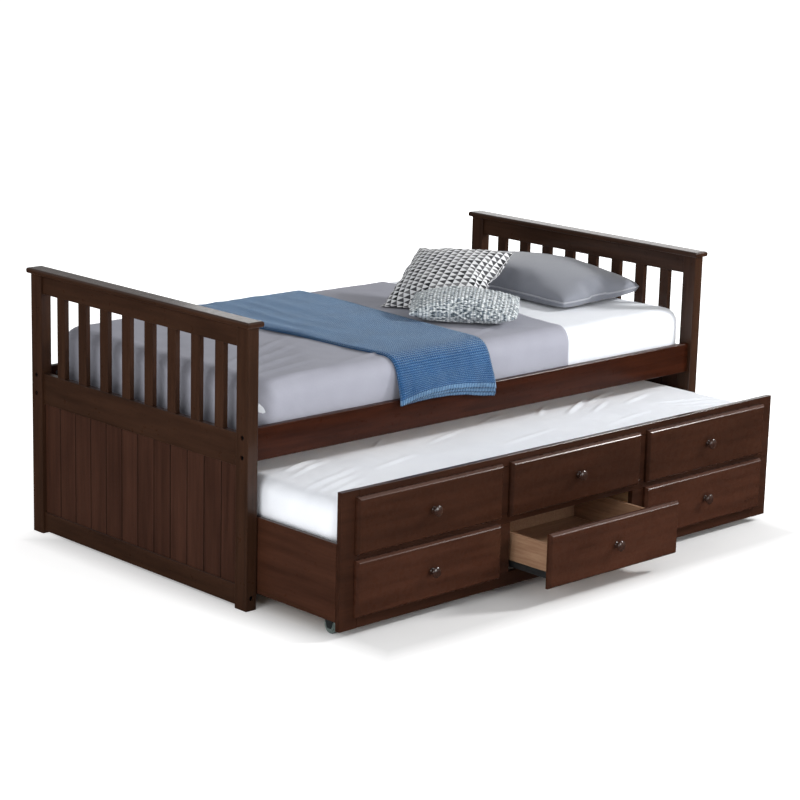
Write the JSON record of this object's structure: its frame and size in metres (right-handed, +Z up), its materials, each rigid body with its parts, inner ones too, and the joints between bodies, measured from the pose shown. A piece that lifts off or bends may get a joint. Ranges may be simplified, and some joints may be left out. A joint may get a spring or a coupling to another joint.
{
  "type": "trundle bed",
  "caption": "Single captain's bed with spindled end frames and a roll-out trundle that carries a second mattress over storage drawers",
  "frame": {"origin": "on the floor, under the middle of the whole part's box as drawn, with the trundle rolled out 378 mm and the middle drawer open 166 mm", "axes": "+X towards the headboard, +Y towards the wall side, away from the drawers, +Z up"},
  "size_m": [2.05, 1.661, 0.869],
  "materials": {
    "espresso_wood": "satin dark brown stain over fine-grained hardwood",
    "knob_wood": "glossy dark brown lacquer",
    "slat_pine": "bare sanded pine",
    "drawer_birch": "clear-coated birch",
    "zinc_steel": "bright zinc plate",
    "black_steel": "black oxide",
    "wheel_plastic": "grey-green moulded nylon",
    "white_cotton": "white cotton, soft",
    "grey_cotton": "light grey brushed cotton",
    "slate_cotton": "slate grey cotton sateen",
    "blue_knit": "blue fine rib knit",
    "triangle_print": "white cotton printed with dark triangles",
    "grey_green_knit": "grey-green flecked chunky knit"
  },
  "bodies": {
    "bed": {"footboard_front_post": "espresso_wood", "footboard_rear_post": "espresso_wood", "headboard_front_post": "espresso_wood", "headboard_rear_post": "espresso_wood", "footboard_cap": "espresso_wood", "headboard_cap": "espresso_wood", "footboard_top_rail": "espresso_wood", "headboard_top_rail": "espresso_wood", "footboard_spindles": "espresso_wood", "headboard_spindles": "espresso_wood", "footboard_middle_rail": "espresso_wood", "headboard_middle_rail": "espresso_wood", "footboard_panel": "espresso_wood", "headboard_panel": "espresso_wood", "footboard_bottom_rail": "espresso_wood", "headboard_bottom_rail": "espresso_wood", "front_side_rail": "espresso_wood", "rear_side_rail": "espresso_wood", "slat_ledgers": "slat_pine", "bed_slats": "slat_pine", "frame_bolts": "black_steel", "barrel_nuts": "zinc_steel", "bed_mattress": "white_cotton", "coverlet": "grey_cotton", "throw": "blue_knit", "pillow": "slate_cotton", "triangle_cushion": "triangle_print", "knit_cushion": "grey_green_knit"},
    "trundle": {"trundle_face_frame": "espresso_wood", "false_front_left": "espresso_wood", "false_front_middle": "espresso_wood", "false_front_right": "espresso_wood", "false_front_knobs": "knob_wood", "trundle_end_panels": "espresso_wood", "trundle_back_panel": "espresso_wood", "drawer_partitions": "slat_pine", "trundle_ledgers": "slat_pine", "trundle_slats": "slat_pine", "cabinet_runners": "zinc_steel", "caster_brackets": "zinc_steel", "trundle_mattress": "white_cotton"},
    "drawer_left": {"drawer_left_front": "espresso_wood", "drawer_left_knob": "knob_wood", "drawer_left_box": "drawer_birch", "drawer_left_bottom": "drawer_birch", "drawer_left_runners": "zinc_steel"},
    "drawer_middle": {"drawer_middle_front": "espresso_wood", "drawer_middle_knob": "knob_wood", "drawer_middle_box": "drawer_birch", "drawer_middle_bottom": "drawer_birch", "drawer_middle_runners": "zinc_steel"},
    "drawer_right": {"drawer_right_front": "espresso_wood", "drawer_right_knob": "knob_wood", "drawer_right_box": "drawer_birch", "drawer_right_bottom": "drawer_birch", "drawer_right_runners": "zinc_steel"},
    "wheel_foot_front": {"wheel_foot_front": "wheel_plastic"},
    "wheel_foot_rear": {"wheel_foot_rear": "wheel_plastic"},
    "wheel_head_front": {"wheel_head_front": "wheel_plastic"},
    "wheel_head_rear": {"wheel_head_rear": "wheel_plastic"}
  },
  "joints": [
    {"name": "trundle_slide", "type": "slide", "parent": "bed", "child": "trundle", "axis": [0, -1, 0], "range_m": [-0.378, 0.682]},
    {"name": "drawer_left_slide", "type": "slide", "parent": "trundle", "child": "drawer_left", "axis": [0, -1, 0], "range_m": [0, 0.3]},
    {"name": "drawer_middle_slide", "type": "slide", "parent": "trundle", "child": "drawer_middle", "axis": [0, -1, 0], "range_m": [-0.166, 0.134]},
    {"name": "drawer_right_slide", "type": "slide", "parent": "trundle", "child": "drawer_right", "axis": [0, -1, 0], "range_m": [0, 0.3]},
    {"name": "wheel_foot_front_spin", "type": "hinge", "parent": "trundle", "child": "wheel_foot_front", "pos_m": [-0.9425, -0.5575, 0.025], "axis": [1, 0, 0], "continuous": true},
    {"name": "wheel_foot_rear_spin", "type": "hinge", "parent": "trundle", "child": "wheel_foot_rear", "pos_m": [-0.9425, 0.329, 0.025], "axis": [1, 0, 0], "continuous": true},
    {"name": "wheel_head_front_spin", "type": "hinge", "parent": "trundle", "child": "wheel_head_front", "pos_m": [0.9425, -0.5575, 0.025], "axis": [1, 0, 0], "continuous": true},
    {"name": "wheel_head_rear_spin", "type": "hinge", "parent": "trundle", "child": "wheel_head_rear", "pos_m": [0.9425, 0.329, 0.025], "axis": [1, 0, 0], "continuous": true}
  ],
  "couplings": [
    {"joint": "wheel_foot_front_spin", "follows": "trundle_slide", "rad_per_m": 40},
    {"joint": "wheel_foot_rear_spin", "follows": "trundle_slide", "rad_per_m": 40},
    {"joint": "wheel_head_front_spin", "follows": "trundle_slide", "rad_per_m": 40},
    {"joint": "wheel_head_rear_spin", "follows": "trundle_slide", "rad_per_m": 40}
  ]
}
